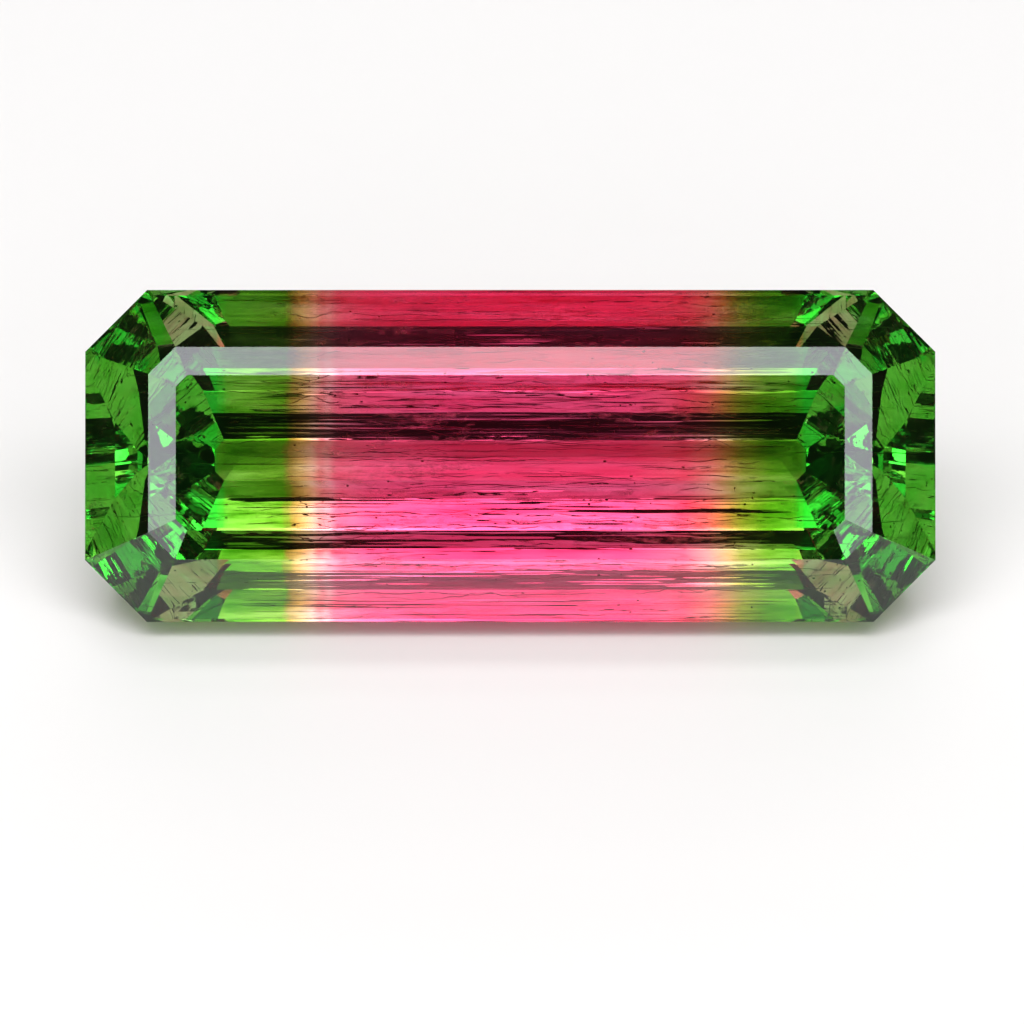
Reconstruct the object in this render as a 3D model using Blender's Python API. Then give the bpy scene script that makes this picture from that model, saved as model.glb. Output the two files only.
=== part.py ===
"""Bi-colour tourmaline, cut as a long eight-sided step cut.

The stone is one convex solid. It is laid out face up first: X along its length, Y across it and Z along
the normal of its table, with the top edge of the girdle at Z = 0. It is then turned to lie on one long
facet of its pavilion, the way a loose stone of this cut comes to rest.
"""
import math

import bmesh
import bpy

MM = 0.001

# Outline of the stone at the girdle.
LENGTH = 25.6 * MM
WIDTH = 10.0 * MM
GIRDLE_CORNER = 1.86 * MM
GIRDLE_THICKNESS = 0.22 * MM

# Crown: the two steps above the girdle. Each has the angle of its long facets to the girdle plane, and
# the half length, half width and corner cut of the outline at its upper edge. The last one is the table.
CROWN_STEPS = (
    (43.4, 10.86 * MM, 3.19 * MM, 0.81 * MM),
    (14.9, 10.03 * MM, 2.33 * MM, 0.34 * MM),
)

# Pavilion: the steps below the girdle, in the same way, each with the outline at its lower edge.
PAVILION_STEPS = (
    (65.5, 12.11 * MM, 4.12 * MM, 1.34 * MM),
    (51.4, 10.22 * MM, 2.08 * MM, 0.92 * MM),
    (41.2, 8.95 * MM, 0.61 * MM, 0.28 * MM),
)
KEEL_ANGLE = 33.2
KEEL_HALF_LENGTH = 8.22 * MM

# The stone lies on the long facet of this pavilion step.
RESTING_STEP = 1

SAME_PLANE = math.radians(0.05)


def outline(half_length, half_width, corner, height):
    """Eight points of a rectangle with its corners cut at 45 degrees, all at one height."""
    corners = (
        (half_length - corner, half_width),
        (half_length, half_width - corner),
    )
    return [
        (side_x * x, side_y * y, height)
        for side_x in (1, -1)
        for side_y in (1, -1)
        for x, y in corners
    ]


def step_rise(angle, wide, narrow):
    """Height of a step whose long facets lean by an angle between two half widths."""
    return (wide - narrow) * math.tan(math.radians(angle))


def stone_points():
    """Corner points of all facets, from the table down to the keel line."""
    half_length = LENGTH / 2
    half_width = WIDTH / 2
    points = outline(half_length, half_width, GIRDLE_CORNER, 0.0)
    height = 0.0
    wide = half_width
    for angle, step_length, step_width, corner in CROWN_STEPS:
        height += step_rise(angle, wide, step_width)
        points += outline(step_length, step_width, corner, height)
        wide = step_width
    height = -GIRDLE_THICKNESS
    points += outline(half_length, half_width, GIRDLE_CORNER, height)
    wide = half_width
    for angle, step_length, step_width, corner in PAVILION_STEPS:
        height -= step_rise(angle, wide, step_width)
        points += outline(step_length, step_width, corner, height)
        wide = step_width
    height -= step_rise(KEEL_ANGLE, wide, 0.0)
    points += [(KEEL_HALF_LENGTH, 0.0, height), (-KEEL_HALF_LENGTH, 0.0, height)]
    return points


def stone_mesh(name):
    """The convex solid through the corner points, with one polygon for each facet."""
    work = bmesh.new()
    for point in stone_points():
        work.verts.new(point)
    bmesh.ops.convex_hull(work, input=work.verts)
    bmesh.ops.dissolve_limit(work, angle_limit=SAME_PLANE, verts=work.verts, edges=work.edges)
    bmesh.ops.recalc_face_normals(work, faces=work.faces)
    mesh = bpy.data.meshes.new(name)
    work.to_mesh(mesh)
    work.free()
    return mesh


def crystal_material():
    """Clear, polished crystal in the pink of the stone's middle."""
    material = bpy.data.materials.new("tourmaline")
    material.use_nodes = True
    shader = material.node_tree.nodes["Principled BSDF"]
    shader.inputs["Base Color"].default_value = (0.86, 0.12, 0.28, 1.0)
    shader.inputs["Metallic"].default_value = 0.0
    shader.inputs["Roughness"].default_value = 0.02
    shader.inputs["IOR"].default_value = 1.63
    shader.inputs["Transmission Weight"].default_value = 1.0
    return material


def lay_down(stone):
    """Turn the stone about its length onto its resting facet and centre its box over the origin."""
    lean = math.radians(PAVILION_STEPS[RESTING_STEP][0])
    stone.rotation_euler = (lean, 0.0, 0.0)
    turned = [stone.rotation_euler.to_matrix() @ vertex.co for vertex in stone.data.vertices]
    low_y = min(point.y for point in turned)
    high_y = max(point.y for point in turned)
    low_z = min(point.z for point in turned)
    stone.location = (0.0, -(low_y + high_y) / 2, -low_z)


def main():
    for old in list(bpy.data.objects):
        bpy.data.objects.remove(old)
    collection = bpy.data.collections.new("tourmaline")
    bpy.context.scene.collection.children.link(collection)
    mesh = stone_mesh("crystal")
    mesh.materials.append(crystal_material())
    stone = bpy.data.objects.new("crystal", mesh)
    collection.objects.link(stone)
    lay_down(stone)


main()
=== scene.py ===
"""Bi-colour tourmaline, a long step-cut stone lying on one facet of its pavilion.

The stone keeps its solid, and gets clear crystal that turns from green at its ends to pink in its middle.
Fine growth needles, healed cracks and flecks lie inside it along its length. All lengths are in metres.
"""

import math

import bpy
import numpy as np
from bpy.props import FloatProperty, FloatVectorProperty, IntProperty, PointerProperty
from bpy.types import Operator, Panel, PropertyGroup
from mathutils import Matrix, Vector


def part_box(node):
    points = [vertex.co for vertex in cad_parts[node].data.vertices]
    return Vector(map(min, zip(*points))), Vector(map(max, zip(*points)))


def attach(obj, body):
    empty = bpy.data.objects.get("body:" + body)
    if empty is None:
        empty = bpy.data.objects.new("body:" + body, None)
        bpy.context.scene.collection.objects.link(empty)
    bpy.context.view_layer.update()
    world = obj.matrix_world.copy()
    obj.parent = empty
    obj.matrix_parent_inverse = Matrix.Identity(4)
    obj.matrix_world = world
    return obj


bl_info = {
    "name": "Bi-colour tourmaline",
    "version": (1, 0, 0),
    "blender": (4, 5, 0),
    "location": "View3D > Sidebar > Tourmaline",
    "description": "Dresses a step-cut tourmaline with coloured crystal, inclusions, soft light and a floor",
    "category": "Object",
}

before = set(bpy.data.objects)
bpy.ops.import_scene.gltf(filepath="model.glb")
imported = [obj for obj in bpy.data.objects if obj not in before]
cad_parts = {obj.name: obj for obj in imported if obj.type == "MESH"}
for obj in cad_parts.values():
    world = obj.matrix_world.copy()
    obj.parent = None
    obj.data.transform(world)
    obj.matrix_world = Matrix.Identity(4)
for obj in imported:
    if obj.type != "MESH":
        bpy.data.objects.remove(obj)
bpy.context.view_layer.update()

MM = 0.001
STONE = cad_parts["crystal"]
LOW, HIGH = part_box("crystal")
LENGTH = HIGH.x - LOW.x

# The photograph is square, this many pixels wide, and the stone's outline spans these of them.
IMAGE_PIXELS = 1024
STONE_PIXELS = 850
OUTLINE_MIDDLE_ROW = 456
METRES_PER_PIXEL = LENGTH / STONE_PIXELS


def table_normal():
    """Outward normal of the table, the widest facet that faces the front and up."""
    normals = {}
    for face in STONE.data.polygons:
        if face.normal.y < -0.1 and face.normal.z > 0.1 and abs(face.normal.x) < 0.01:
            key = (round(face.normal.y, 3), round(face.normal.z, 3))
            area, _ = normals.get(key, (0.0, None))
            normals[key] = (area + face.area, face.normal.copy())
    return max(normals.values(), key=lambda entry: entry[0])[1]


def girdle_centre():
    """Middle of the widest outline, which the two ends of the stone's length lie on."""
    ends = [vertex.co for vertex in STONE.data.vertices if vertex.co.x > HIGH.x - 0.01 * MM]
    across = [point.y for point in ends]
    upright = [point.z for point in ends]
    return Vector((0.0, (min(across) + max(across)) / 2, (min(upright) + max(upright)) / 2))


TABLE_NORMAL = table_normal()
ALONG = Vector((1.0, 0.0, 0.0))
UPWARD = TABLE_NORMAL.cross(ALONG)


class Crystal(PropertyGroup):
    """The crystal itself."""

    refraction: FloatProperty(
        name="Refractive index",
        description="How strongly the crystal bends light",
        default=1.63,
        min=1.0,
        max=3.0,
    )
    ripple_height: FloatProperty(
        name="Ripple height",
        description="Height of the faint ripples that bend light as the crystal's growth layers do",
        default=0.0055 * MM,
        unit="LENGTH",
    )
    streak_contrast: FloatProperty(
        name="Streak contrast",
        description="How much the fine streaks differ in depth of colour",
        default=2.1,
        min=0.0,
    )
    crown_end_colour: FloatVectorProperty(
        name="Crown end colour",
        description="Deep green of the crown's two ends",
        default=(0.034, 0.50, 0.028),
        size=3,
        subtype="COLOR",
    )


class Inclusions(PropertyGroup):
    """What grew or healed inside the crystal."""

    needle_count: IntProperty(
        name="Needles", description="How many growth needles lie along the stone", default=150, min=0
    )
    needle_radius: FloatProperty(
        name="Needle radius",
        description="Radius of the thickest growth needles",
        default=0.016 * MM,
        unit="LENGTH",
    )
    needle_colour: FloatVectorProperty(
        name="Needle colour",
        description="Colour of the growth needles",
        default=(0.14, 0.045, 0.050),
        size=3,
        subtype="COLOR",
    )
    crack_count: IntProperty(
        name="Healed cracks", description="How many thin healed cracks the stone has", default=26, min=0
    )
    crack_width: FloatProperty(
        name="Crack width",
        description="Half width of the widest healed cracks",
        default=0.34 * MM,
        unit="LENGTH",
    )
    crack_colour: FloatVectorProperty(
        name="Crack colour",
        description="Pale colour of the healed cracks",
        default=(0.95, 0.80, 0.80),
        size=3,
        subtype="COLOR",
    )
    fleck_count: IntProperty(
        name="Flecks", description="How many small flecks float in the stone", default=90, min=0
    )
    fleck_radius: FloatProperty(
        name="Fleck radius", description="Radius of the largest flecks", default=0.035 * MM, unit="LENGTH"
    )


class Stage(PropertyGroup):
    """Camera, floor and light."""

    view_tilt: FloatProperty(
        name="View tilt",
        description="How far below the table's normal the camera stands",
        default=math.radians(2.5),
        subtype="ANGLE",
    )
    camera_distance: FloatProperty(
        name="Camera distance",
        description="Distance from the stone's middle to the camera",
        default=0.45,
        unit="LENGTH",
    )
    floor_colour: FloatVectorProperty(
        name="Floor colour",
        description="Colour of the plain floor",
        default=(0.78, 0.77, 0.70),
        size=3,
        subtype="COLOR",
    )
    floor_radius: FloatProperty(
        name="Floor radius",
        description="Radius of the round floor",
        default=0.22,
        unit="LENGTH",
    )


def view_axes():
    """Directions from the stone to the camera and up in the image, both of unit length."""
    tilt = bpy.context.scene.tourmaline_stage.view_tilt
    towards = Matrix.Rotation(tilt, 3, "X") @ TABLE_NORMAL
    up = towards.cross(ALONG)
    return towards.normalized(), up.normalized()


class Value:
    """A shader value. Sums, products and the like of values add the Math nodes that work them out."""

    def __init__(self, tree, socket):
        self.tree = tree
        self.socket = socket

    def math(self, operation, *others):
        node = self.tree.nodes.new("ShaderNodeMath")
        node.operation = operation
        for slot, other in zip(node.inputs, others):
            if isinstance(other, Value):
                self.tree.links.new(other.socket, slot)
            else:
                slot.default_value = other
        return Value(self.tree, node.outputs[0])

    def __add__(self, other):
        return self.math("ADD", self, other)

    def __radd__(self, other):
        return self.math("ADD", other, self)

    def __sub__(self, other):
        return self.math("SUBTRACT", self, other)

    def __rsub__(self, other):
        return self.math("SUBTRACT", other, self)

    def __mul__(self, other):
        return self.math("MULTIPLY", self, other)

    def __rmul__(self, other):
        return self.math("MULTIPLY", other, self)


class Shading:
    """A material's node tree, emptied, with one method that adds any node."""

    def __init__(self, name):
        self.material = bpy.data.materials.new(name)
        self.material.use_nodes = True
        self.tree = self.material.node_tree
        self.tree.nodes.clear()

    def node(self, kind, settings=None, **values):
        """Adds a node of a kind, makes its settings, then fills its sockets with values or links."""
        made = self.tree.nodes.new("ShaderNode" + kind)
        for key, setting in (settings or {}).items():
            setattr(made, key, setting)
        for key, value in values.items():
            slot = self.socket(made, key.replace("_", " "))
            if isinstance(value, Value):
                self.tree.links.new(value.socket, slot)
            else:
                slot.default_value = value
        return made

    @staticmethod
    def socket(made, name):
        """The input of that name that is in use under the node's settings."""
        return next(slot for slot in made.inputs if slot.name == name and slot.enabled)

    def out(self, made, name=0):
        return Value(self.tree, made.outputs[name])

    def place(self):
        """Place on the piece, in its own coordinates."""
        return self.out(self.node("TexCoord"), "Object")

    def between(self, value, limits, low=0.0, high=1.0, kind="LINEAR"):
        """Runs from low to high while a value runs between two limits."""
        made = self.node(
            "MapRange",
            {"interpolation_type": kind},
            Value=value,
            From_Min=limits[0],
            From_Max=limits[1],
            To_Min=low,
            To_Max=high,
        )
        return self.out(made)

    def size(self, value):
        """A value without its sign."""
        return self.out(self.node("Math", {"operation": "ABSOLUTE"}, Value=value))

    def streaks(self, place, along_scale, across_scale, detail, shift):
        """Noise from 0 to 1 drawn out along the stone, with these many waves to a metre."""
        drawn = self.node(
            "Mapping",
            {"vector_type": "POINT"},
            Vector=place,
            Location=(shift, shift, shift),
            Scale=(along_scale, across_scale, across_scale),
        )
        vector = self.out(drawn, "Vector")
        return self.out(self.node("TexNoise", Vector=vector, Scale=1.0, Detail=detail, Roughness=0.6), "Fac")

    def finish(self, surface, volume=None):
        """Puts a surface, and a volume where there is one, on the material and returns it."""
        output = self.node("OutputMaterial")
        self.tree.links.new(surface.outputs[0], output.inputs["Surface"])
        if volume:
            self.tree.links.new(volume.outputs[0], output.inputs["Volume"])
        return self.material


ZONES = (
    # millimetres from the middle along the stone's length, and the colour that light takes on there
    (-12.8, (0.31, 0.45, 0.045)),
    (-8.85, (0.29, 0.45, 0.045)),
    (-8.65, (0.19, 0.50, 0.050)),
    (-6.80, (0.25, 0.50, 0.050)),
    (-6.68, (0.50, 0.38, 0.10)),
    (-6.30, (0.80, 0.56, 0.24)),
    (-5.90, (0.97, 0.55, 0.42)),
    (-5.72, (0.94, 0.30, 0.30)),
    (-5.50, (0.97, 0.42, 0.42)),
    (-5.25, (0.97, 0.19, 0.28)),
    (-4.30, (0.98, 0.12, 0.245)),
    (-2.00, (0.98, 0.080, 0.215)),
    (3.50, (0.98, 0.080, 0.205)),
    (5.30, (0.97, 0.13, 0.21)),
    (6.00, (0.93, 0.29, 0.26)),
    (6.50, (0.76, 0.44, 0.22)),
    (7.00, (0.48, 0.50, 0.12)),
    (7.80, (0.24, 0.48, 0.05)),
    (8.65, (0.19, 0.50, 0.05)),
    (8.85, (0.29, 0.45, 0.045)),
    (12.8, (0.31, 0.45, 0.045)),
)

# Distances from the middle between which the crystal changes on its way to each end: clear to mossy, mossy
# to clean, rippled to calm, and the long crown facets to those of the crown's ends.
MOSSY = (4.8 * MM, 6.6 * MM)
CLEAN = (8.6 * MM, 8.9 * MM)
CALM = (7.6 * MM, 8.8 * MM)
CROWN_END = (8.62 * MM, 8.82 * MM)

# Heights over the girdle between which the crown starts, and between which the ripples set in under it.
CROWN = (-0.05 * MM, 0.05 * MM)
RIPPLES = (-0.1 * MM, -0.8 * MM)

# How far the border of two colour zones wanders along the stone.
BORDER_WANDER = 0.6 * MM

# Noises drawn out along the stone: waves to a metre along it and across it, their detail, and the shift that
# sets them apart.
BORDER_NOISE = (40.0, 1600.0, 4.0, 0.0)
PATCH_NOISE = (160.0, 1100.0, 4.0, 23.0)
STREAK_NOISE = (55.0, 2600.0, 5.0, 3.0)
THREAD_NOISE = (90.0, 1500.0, 3.0, 7.0)
LAYER_NOISE = (70.0, 900.0, 2.0, 11.0)
FINE_LAYER_NOISE = (120.0, 2400.0, 2.0, 17.0)

# The mossy patches lie where their noise is below these values, and the threads where theirs is this near
# to its middle value.
PATCHES = (0.40, 0.58)
THREAD_WIDTH = 0.012

# Least power that a streak takes the colour to.
FAINTEST_STREAK = 0.3


def zone_colour(shading, along):
    """Colour of the zone in which a place along the stone lies."""
    ramp = shading.node("ValToRGB", Fac=along * (1.0 / LENGTH) + 0.5)
    stops = ramp.color_ramp.elements
    for index, (place_mm, colour) in enumerate(ZONES):
        position = place_mm * MM / LENGTH + 0.5
        if index < len(stops):
            stop = stops[index]
            stop.position = position
        else:
            stop = stops.new(position)
        stop.color = (*colour, 1.0)
    return shading.out(ramp, "Color")


def crystal_material():
    """Clear crystal whose colour follows the stone's length, with fine streaks along it."""
    look = bpy.context.scene.tourmaline_crystal
    shading = Shading("tourmaline_crystal")
    place = shading.place()
    parts = shading.node("SeparateXYZ", Vector=place)
    along = shading.out(parts, "X")
    girdle_height = girdle_centre().dot(TABLE_NORMAL)
    over_girdle = (
        TABLE_NORMAL.y * shading.out(parts, "Y") + TABLE_NORMAL.z * shading.out(parts, "Z") - girdle_height
    )
    from_middle = shading.size(along)
    calm = shading.between(from_middle, CALM, 1.0, 0.1)
    mossy = shading.between(from_middle, MOSSY, 0.25, 1.0) * shading.between(from_middle, CLEAN, 1.0, 0.2)

    wander = (shading.streaks(place, *BORDER_NOISE) - 0.5) * BORDER_WANDER
    crown_end = shading.between(over_girdle, CROWN) * shading.between(from_middle, CROWN_END)
    zoned = shading.node(
        "Mix",
        {"data_type": "RGBA"},
        Factor=crown_end,
        A=zone_colour(shading, along + wander),
        B=(*look.crown_end_colour, 1.0),
    )

    # Streaks and patches take their colour to a power, so that they are deeper and not blacker.
    patches = mossy * shading.between(
        shading.streaks(place, *PATCH_NOISE), PATCHES, 1.0, 0.0, "SMOOTHSTEP"
    )
    fine = (shading.streaks(place, *STREAK_NOISE) - 0.5) * look.streak_contrast
    strength = 1.0 + fine * calm * (0.6 + 0.4 * mossy) + 1.1 * patches
    strength = strength.math("MAXIMUM", strength, FAINTEST_STREAK)
    deepened = shading.node("Gamma", Color=shading.out(zoned, 2), Gamma=strength)

    off_thread = shading.size(shading.streaks(place, *THREAD_NOISE) - 0.5)
    thread = shading.between(off_thread, (0.0, THREAD_WIDTH), 1.0, 0.0, "SMOOTHSTEP")
    shade = (1.0 - 0.4 * calm * thread) * (1.0 - 0.35 * patches)
    grey = shading.node("CombineColor", Red=shade, Green=shade, Blue=shade)
    tinted = shading.node(
        "Mix",
        {"data_type": "RGBA", "blend_type": "MULTIPLY"},
        Factor=1.0,
        A=shading.out(deepened),
        B=shading.out(grey, "Color"),
    )

    layers = shading.streaks(place, *LAYER_NOISE) - 0.5
    finer_layers = shading.streaks(place, *FINE_LAYER_NOISE) - 0.5
    ripples = (layers + 0.35 * finer_layers) * calm * shading.between(over_girdle, RIPPLES)
    bend = shading.node("Bump", Strength=1.0, Distance=look.ripple_height, Height=ripples)
    crystal = shading.node(
        "BsdfPrincipled",
        Base_Color=shading.out(tinted, 2),
        Roughness=0.0,
        IOR=look.refraction,
        Transmission_Weight=1.0,
        Normal=shading.out(bend, "Normal"),
    )
    absorption = shading.node("VolumeAbsorption", Color=(0.7, 0.7, 0.7, 1.0), Density=12.0)
    return shading.finish(crystal, absorption)


def floor_material():
    """Plain matt floor."""
    stage = bpy.context.scene.tourmaline_stage
    shading = Shading("plain_floor")
    matt = shading.node("BsdfPrincipled", Base_Color=(*stage.floor_colour, 1.0), Roughness=0.7)
    return shading.finish(matt)


def facet_planes():
    """Outward normals and offsets of the stone's facets, as arrays."""
    found = {}
    for face in STONE.data.polygons:
        key = tuple(round(part, 4) for part in face.normal)
        found[key] = face.normal.dot(face.center)
    return np.array(list(found)), np.array(list(found.values()))


def depth_inside(points):
    """Distance from points to the nearest facet, positive inside the stone."""
    normals, offsets = facet_planes()
    return (offsets - points @ normals.T).min(axis=-1)


def slender_forms(name, centres, turn, wide, thin, sides):
    """Closed slender forms, all in one mesh.

    On each form, point (t, a) is the centre line at t, plus the across direction times wide(t) cos a, plus
    the outward direction times thin(t) sin a. The across direction is the stone's upward direction turned
    about its length by the form's own angle. A single point closes each end.
    """
    count, steps, _ = centres.shape
    up = np.array(UPWARD)
    out = np.array(TABLE_NORMAL)
    turn = turn[:, None]
    across_way = np.cos(turn) * up + np.sin(turn) * out
    out_way = np.cos(turn) * out - np.sin(turn) * up
    angle = np.linspace(0.0, 2 * math.pi, sides, endpoint=False)
    rings = (
        centres[:, 1:-1, None]
        + across_way[:, None, None] * (wide[:, 1:-1, None] * np.cos(angle))[..., None]
        + out_way[:, None, None] * (thin[:, 1:-1, None] * np.sin(angle))[..., None]
    )
    ring_count = steps - 2
    rings = rings.reshape(count, ring_count * sides, 3)
    points = np.concatenate([rings, centres[:, :1], centres[:, -1:]], axis=1)
    ring, side = np.meshgrid(np.arange(ring_count - 1), np.arange(sides), indexing="ij")
    beside = (side + 1) % sides
    near = ring * sides
    far = near + sides
    quads = np.stack([near + side, near + beside, far + beside, far + side], axis=-1).reshape(-1, 4)
    around = np.arange(sides)
    following = (around + 1) % sides
    first_tip = ring_count * sides
    last_ring = (ring_count - 1) * sides
    first_fan = np.stack([np.full(sides, first_tip), following, around], axis=-1)
    last_fan = np.stack([np.full(sides, first_tip + 1), last_ring + around, last_ring + following], axis=-1)
    start = np.arange(count)[:, None, None] * (ring_count * sides + 2)
    faces = (start + quads).reshape(-1, 4).tolist()
    faces += (start + np.concatenate([first_fan, last_fan])).reshape(-1, 3).tolist()
    mesh = bpy.data.meshes.new(name)
    mesh.from_pydata(points.reshape(-1, 3).tolist(), [], faces)
    mesh.shade_smooth()
    made = bpy.data.objects.new(name, mesh)
    bpy.context.scene.collection.objects.link(made)
    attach(made, "root")
    return made


# The middles of what lies inside are drawn from this box around the girdle's middle, in millimetres along
# the stone, up across it and out through its table. This many times the lines needed are drawn.
INSIDE_BOX_MM = ((-11.0, 11.0), (-4.2, 4.2), (-5.6, 1.7))
SPARE_DRAWS = 12

# How the centre lines of each kind are drawn: their lengths and sway in millimetres, and the least distance
# that they keep from every facet.
NEEDLE_LINES = {"length_range": (1.5, 8.0), "steps": 22, "sway": 0.05, "margin": 0.12 * MM}
CRACK_LINES = {"length_range": (1.5, 6.0), "steps": 60, "sway": 0.12, "margin": 0.4 * MM}
FLECK_LINES = {"length_range": (0.04, 0.12), "steps": 7, "sway": 0.004, "margin": 0.15 * MM}
CRACK_THICKNESS = 0.008 * MM

# A slow wave and a faster, lower one sway a centre line up the stone, and two more sway it outward.
WAVE_RATES = np.array([1.0, 3.0, 1.0, 3.0])[:, None]
WAVE_SIZES = np.array([1.0, 0.35, 1.0, 0.35])[:, None]


def drawn_lines(draw, count, length_range, steps, sway, margin):
    """Centre lines drawn along the stone, that stay at least a margin inside it.

    A line's point at t is its middle, plus t from -1/2 to 1/2 of its length along the stone, plus two sine
    waves of t across the stone. Lines are drawn at random and those that come too near a facet are left out.
    """
    spare = count * SPARE_DRAWS
    t = np.linspace(-0.5, 0.5, steps)
    length = draw.uniform(*length_range, spare)
    middle = np.stack([draw.uniform(*limits, spare) for limits in INSIDE_BOX_MM], axis=-1)
    phase = draw.uniform(0.0, 2 * math.pi, (spare, 4, 1))
    waves = draw.uniform(0.4, 1.6, (spare, 4, 1))
    size = draw.normal(0.0, sway, (spare, 4, 1)) * WAVE_SIZES
    swing = size * np.sin(2 * math.pi * waves * t * WAVE_RATES + phase)
    along = (middle[:, :1] + length[:, None] * t) * MM
    up = (middle[:, 1:2] + swing[:, 0] + swing[:, 1]) * MM
    out = (middle[:, 2:3] + swing[:, 2] + swing[:, 3]) * MM
    lines = (
        np.array(girdle_centre())
        + along[..., None] * np.array(ALONG)
        + up[..., None] * np.array(UPWARD)
        + out[..., None] * np.array(TABLE_NORMAL)
    )
    inside = depth_inside(lines).min(axis=1) > margin
    return lines[inside][:count]


def taper(steps, fullness):
    """Widths along a form, 0 at its ends and 1 in its middle: four t (1 - t) to a power."""
    t = np.linspace(0.0, 1.0, steps)
    return (4 * t * (1 - t)) ** fullness


def needle_material():
    """Dark, slightly glossy needles, broken into dashes by noise."""
    inclusions = bpy.context.scene.tourmaline_inclusions
    shading = Shading("growth_needle")
    noise = shading.out(shading.node("TexNoise", Vector=shading.place(), Scale=1500.0, Detail=2.0), "Fac")
    needle = shading.node(
        "BsdfPrincipled",
        Base_Color=(*inclusions.needle_colour, 1.0),
        Roughness=0.3,
        Alpha=shading.between(noise, (0.40, 0.52)),
    )
    return shading.finish(needle)


def crack_material():
    """Pale veil of a healed crack, broken up into fine drops by noise."""
    inclusions = bpy.context.scene.tourmaline_inclusions
    shading = Shading("healed_crack")
    drawn = shading.out(shading.node("Mapping", Vector=shading.place(), Scale=(0.35, 1.0, 1.0)), "Vector")
    coarse = shading.node("TexNoise", Vector=drawn, Scale=2600.0, Detail=4.0, Roughness=0.7)
    fine = shading.node("TexNoise", Vector=drawn, Scale=11000.0, Detail=3.0)
    drops = shading.out(coarse, "Fac") * 0.7 + shading.out(fine, "Fac") * 0.3
    crack = shading.node(
        "BsdfPrincipled",
        Base_Color=(*inclusions.crack_colour, 1.0),
        Roughness=0.35,
        Alpha=shading.between(drops, (0.5, 0.72), 0.0, 0.55),
    )
    return shading.finish(crack)


def fleck_material():
    """Small mineral grain, nearly black to brown."""
    shading = Shading("fleck")
    noise = shading.out(shading.node("TexNoise", Vector=shading.place(), Scale=900.0), "Fac")
    ramp = shading.node("ValToRGB", Fac=noise)
    low, high = ramp.color_ramp.elements
    low.position, low.color = 0.42, (0.02, 0.012, 0.01, 1.0)
    high.position, high.color = 0.60, (0.30, 0.16, 0.10, 1.0)
    grain = shading.node("BsdfPrincipled", Base_Color=shading.out(ramp, "Color"), Roughness=0.4)
    return shading.finish(grain)


# Long soft boxes that face the stone. Each has the angles between which it stands, up from the camera's
# direction, then the same to the right of it, and its radiance.
LIGHTS = (
    ("front", (-19.0, -7.0), (-24.0, 24.0), 2.8),
    ("front_gap", (-3.0, 0.0), (-24.0, 24.0), 1.2),
    ("middle_low", (2.5, 3.9), (-24.0, 24.0), 0.5),
    ("over_faint", (6.5, 8.5), (-24.0, 24.0), 0.75),
    ("over_low", (8.9, 11.0), (-24.0, 24.0), 1.5),
    ("over_edge", (11.0, 14.0), (-24.0, 24.0), 2.4),
    ("over_dim", (14.0, 17.0), (-24.0, 24.0), 0.8),
    ("over_middle", (17.0, 23.0), (-24.0, 24.0), 2.3),
    ("over_gap", (23.0, 26.0), (-24.0, 24.0), 1.2),
    ("over", (26.0, 45.0), (-32.0, 32.0), 5.4),
    ("over_back", (45.0, 62.0), (-24.0, 24.0), 1.0),
    ("over_back_edge", (62.0, 66.0), (-24.0, 24.0), 0.5),
    ("over_far", (66.0, 78.0), (-24.0, 24.0), 4.0),
    ("crest", (86.0, 92.0), (-24.0, 24.0), 1.9),
    ("crest_low", (95.0, 101.0), (-24.0, 24.0), 0.5),
    ("crest_gap", (101.0, 109.0), (-24.0, 24.0), 1.1),
    ("behind", (110.0, 115.0), (-24.0, 24.0), 1.8),
    ("behind_low", (118.0, 126.0), (-24.0, 24.0), 3.6),
    ("right", (-6.0, 6.0), (31.0, 41.0), 5.2),
    ("left", (-6.0, 6.0), (-41.0, -31.0), 5.2),
    ("high_right", (18.0, 30.0), (32.0, 48.0), 3.5),
    ("high_left", (18.0, 30.0), (-48.0, -32.0), 3.5),
    ("far_right", (-20.0, 14.0), (50.0, 60.0), 1.6),
    ("far_left", (-20.0, 14.0), (-60.0, -50.0), 1.6),
)
LIGHT_DISTANCE = 0.35
LIGHT_COLOUR = (0.98, 0.98, 1.07)
ROOM_COLOUR = (0.02, 0.02, 0.02, 1.0)

# Light is thrown back inside the stone this many times at most before it leaves.
LIGHT_BOUNCES = 24

# The floor lies this far under the stone, so that the two don't share a plane.
FLOOR_GAP = 0.02 * MM

SENSOR_WIDTH_MM = 36.0


def soft_box(name, rise, swing, radiance, centre):
    """Rectangular light between two angles up and two angles to the right of the camera, facing the stone."""
    towards, up = view_axes()
    height = 2 * LIGHT_DISTANCE * math.tan(math.radians(rise[1] - rise[0]) / 2)
    width = 2 * LIGHT_DISTANCE * math.tan(math.radians(swing[1] - swing[0]) / 2)
    rise = math.radians(sum(rise) / 2)
    swing = math.radians(sum(swing) / 2)
    direction = (towards * math.cos(rise) + up * math.sin(rise)) * math.cos(swing) + ALONG * math.sin(swing)
    data = bpy.data.lights.new(name, "AREA")
    data.shape = "RECTANGLE"
    data.size = width
    data.size_y = height
    data.energy = radiance * math.pi * width * height
    data.color = LIGHT_COLOUR
    lamp = bpy.data.objects.new(name, data)
    side = (ALONG - direction * ALONG.dot(direction)).normalized()
    turn = Matrix((side, direction.cross(side), direction)).transposed()
    lamp.matrix_world = Matrix.Translation(centre + direction * LIGHT_DISTANCE) @ turn.to_4x4()
    bpy.context.scene.collection.objects.link(lamp)
    return lamp


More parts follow.
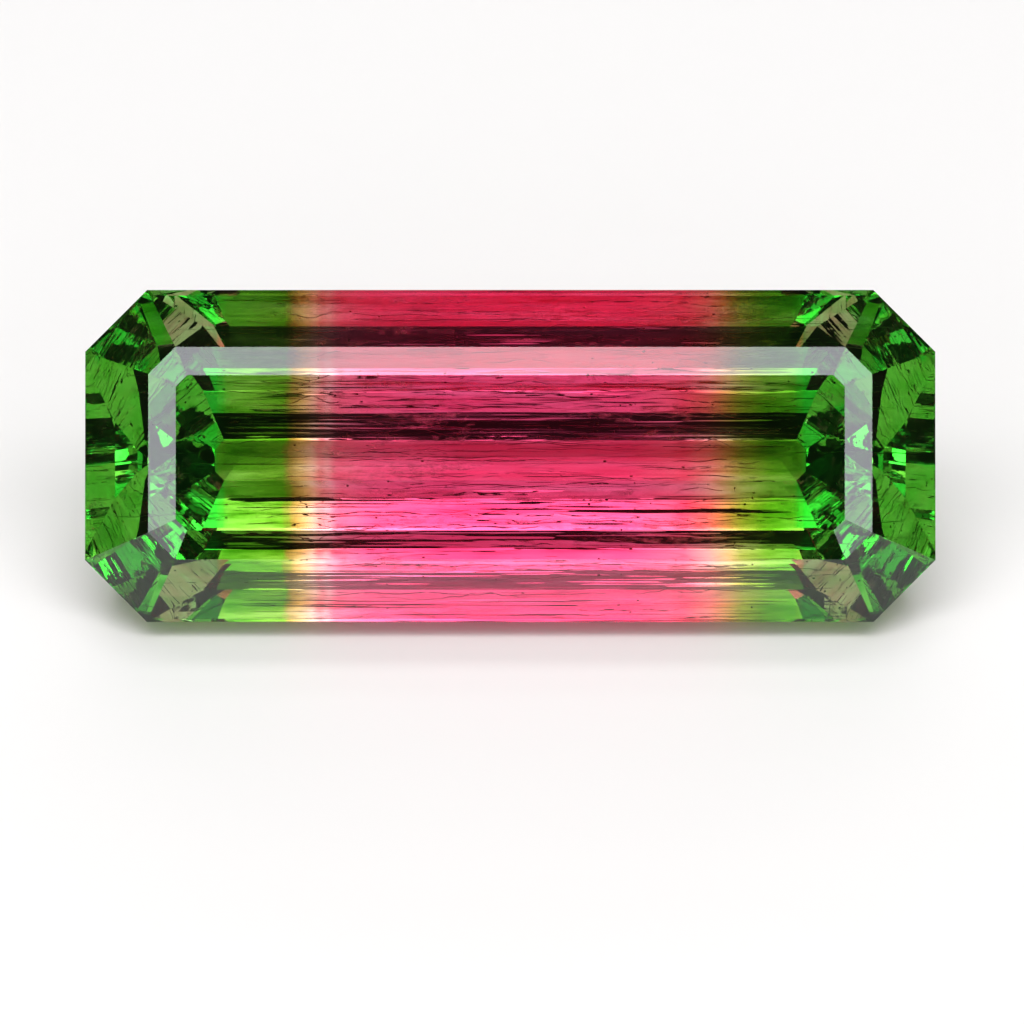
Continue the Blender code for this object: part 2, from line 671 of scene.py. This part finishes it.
def add_floor(stage):
    """Round floor under the stone."""
    bpy.ops.mesh.primitive_circle_add(
        vertices=96, radius=stage.floor_radius, fill_type="NGON", location=(0.0, 0.0, -FLOOR_GAP)
    )
    floor = bpy.context.object
    floor.name = "floor"
    floor.data.materials.append(floor_material())


def add_camera(stage):
    """Camera that looks at the table as in the photograph, with the outline on the same rows and columns."""
    towards, up = view_axes()
    data = bpy.data.cameras.new("camera")
    data.sensor_width = SENSOR_WIDTH_MM
    data.lens = data.sensor_width * stage.camera_distance / (IMAGE_PIXELS * METRES_PER_PIXEL)
    camera = bpy.data.objects.new("camera", data)
    aim = girdle_centre() - up * ((IMAGE_PIXELS / 2 - OUTLINE_MIDDLE_ROW) * METRES_PER_PIXEL)
    turn = Matrix((ALONG, up, towards)).transposed()
    camera.matrix_world = Matrix.Translation(aim + towards * stage.camera_distance) @ turn.to_4x4()
    bpy.context.scene.collection.objects.link(camera)
    return camera


class TOURMALINE_OT_crystal(Operator):
    """Gives the cut stone its coloured crystal"""

    bl_idname = "tourmaline.crystal"
    bl_label = "Crystal"

    def execute(self, context):
        STONE.data.materials.clear()
        STONE.data.materials.append(crystal_material())
        return {"FINISHED"}


class TOURMALINE_OT_needles(Operator):
    """Adds the growth needles that lie along the stone"""

    bl_idname = "tourmaline.needles"
    bl_label = "Growth needles"

    def execute(self, context):
        inclusions = context.scene.tourmaline_inclusions
        draw = np.random.default_rng(5)
        lines = drawn_lines(draw, inclusions.needle_count, **NEEDLE_LINES)
        count = len(lines)
        widest = inclusions.needle_radius * draw.uniform(0.3, 1.0, (count, 1))
        radius = widest * taper(NEEDLE_LINES["steps"], 0.4)
        needles = slender_forms("growth_needles", lines, np.zeros(count), radius, radius, 6)
        needles.data.materials.append(needle_material())
        return {"FINISHED"}


class TOURMALINE_OT_cracks(Operator):
    """Adds the thin healed cracks, as pale veils"""

    bl_idname = "tourmaline.cracks"
    bl_label = "Healed cracks"

    def execute(self, context):
        inclusions = context.scene.tourmaline_inclusions
        draw = np.random.default_rng(17)
        lines = drawn_lines(draw, inclusions.crack_count, **CRACK_LINES)
        count = len(lines)
        narrowing = taper(CRACK_LINES["steps"], 0.6)
        wide = inclusions.crack_width * draw.uniform(0.3, 1.0, (count, 1)) * narrowing
        thin = np.full((count, 1), CRACK_THICKNESS / 2) * narrowing
        turn = draw.normal(0.0, 0.5, count)
        cracks = slender_forms("healed_cracks", lines, turn, wide, thin, 8)
        cracks.data.materials.append(crack_material())
        return {"FINISHED"}


class TOURMALINE_OT_flecks(Operator):
    """Adds small mineral flecks"""

    bl_idname = "tourmaline.flecks"
    bl_label = "Flecks"

    def execute(self, context):
        inclusions = context.scene.tourmaline_inclusions
        draw = np.random.default_rng(29)
        lines = drawn_lines(draw, inclusions.fleck_count, **FLECK_LINES)
        count = len(lines)
        widest = inclusions.fleck_radius * draw.uniform(0.25, 1.0, (count, 1))
        radius = widest * taper(FLECK_LINES["steps"], 0.5)
        flecks = slender_forms("flecks", lines, np.zeros(count), radius, radius, 8)
        flecks.data.materials.append(fleck_material())
        return {"FINISHED"}


class TOURMALINE_OT_stage(Operator):
    """Adds the floor, the soft light and the camera"""

    bl_idname = "tourmaline.stage"
    bl_label = "Stage"

    def execute(self, context):
        scene = context.scene
        stage = scene.tourmaline_stage
        add_floor(stage)
        centre = (LOW + HIGH) / 2
        for light in LIGHTS:
            soft_box(*light, centre)
        world = bpy.data.worlds.new("dim_room")
        world.use_nodes = True
        world.node_tree.nodes["Background"].inputs["Color"].default_value = ROOM_COLOUR
        scene.world = world
        scene.view_settings.view_transform = "Standard"
        scene.cycles.max_bounces = LIGHT_BOUNCES
        scene.cycles.glossy_bounces = LIGHT_BOUNCES
        scene.cycles.transmission_bounces = LIGHT_BOUNCES
        scene.camera = add_camera(stage)
        return {"FINISHED"}


class TOURMALINE_PT_panel(Panel):
    """Lists what the tourmaline is made of"""

    bl_idname = "TOURMALINE_PT_panel"
    bl_label = "Tourmaline"
    bl_space_type = "VIEW_3D"
    bl_region_type = "UI"
    bl_category = "Tourmaline"

    def draw(self, context):
        for operator in OPERATORS:
            self.layout.operator(operator.bl_idname)


OPERATORS = (
    TOURMALINE_OT_crystal,
    TOURMALINE_OT_needles,
    TOURMALINE_OT_cracks,
    TOURMALINE_OT_flecks,
    TOURMALINE_OT_stage,
)
CLASSES = (Crystal, Inclusions, Stage, *OPERATORS, TOURMALINE_PT_panel)


def register():
    for item in CLASSES:
        bpy.utils.register_class(item)
    bpy.types.Scene.tourmaline_crystal = PointerProperty(type=Crystal)
    bpy.types.Scene.tourmaline_inclusions = PointerProperty(type=Inclusions)
    bpy.types.Scene.tourmaline_stage = PointerProperty(type=Stage)


def unregister():
    del bpy.types.Scene.tourmaline_stage
    del bpy.types.Scene.tourmaline_inclusions
    del bpy.types.Scene.tourmaline_crystal
    for item in reversed(CLASSES):
        bpy.utils.unregister_class(item)


def main():
    register()
    bpy.ops.tourmaline.crystal()
    bpy.ops.tourmaline.needles()
    bpy.ops.tourmaline.cracks()
    bpy.ops.tourmaline.flecks()
    bpy.ops.tourmaline.stage()


if __name__ == "__main__":
    main()
